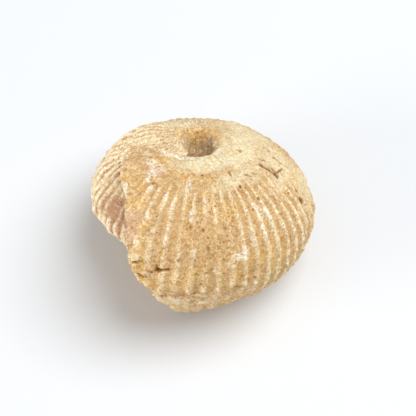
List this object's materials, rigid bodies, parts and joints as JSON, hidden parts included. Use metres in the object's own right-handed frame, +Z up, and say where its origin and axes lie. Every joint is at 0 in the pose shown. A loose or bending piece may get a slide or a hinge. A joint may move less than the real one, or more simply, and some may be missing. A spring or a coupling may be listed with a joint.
{
  "type": "ammonite fossil",
  "caption": "Ammonite fossil in pale ochre limestone: an inflated, tightly coiled shell with fine radial ribs, a small deep umbilicus and a broken-off last whorl, lying on one flank.",
  "frame": {"origin": "middle of the underside: the point of the resting plane under the centre of the outline seen from above", "axes": "+Z up as the fossil lies, -Y toward the viewer of the picture, +X to that viewer's right"},
  "size_m": [0.0604, 0.0628, 0.0419],
  "materials": {
    "weathered limestone": "matte"
  },
  "bodies": {
    "root": {"ammonite": "weathered limestone"}
  },
  "joints": []
}
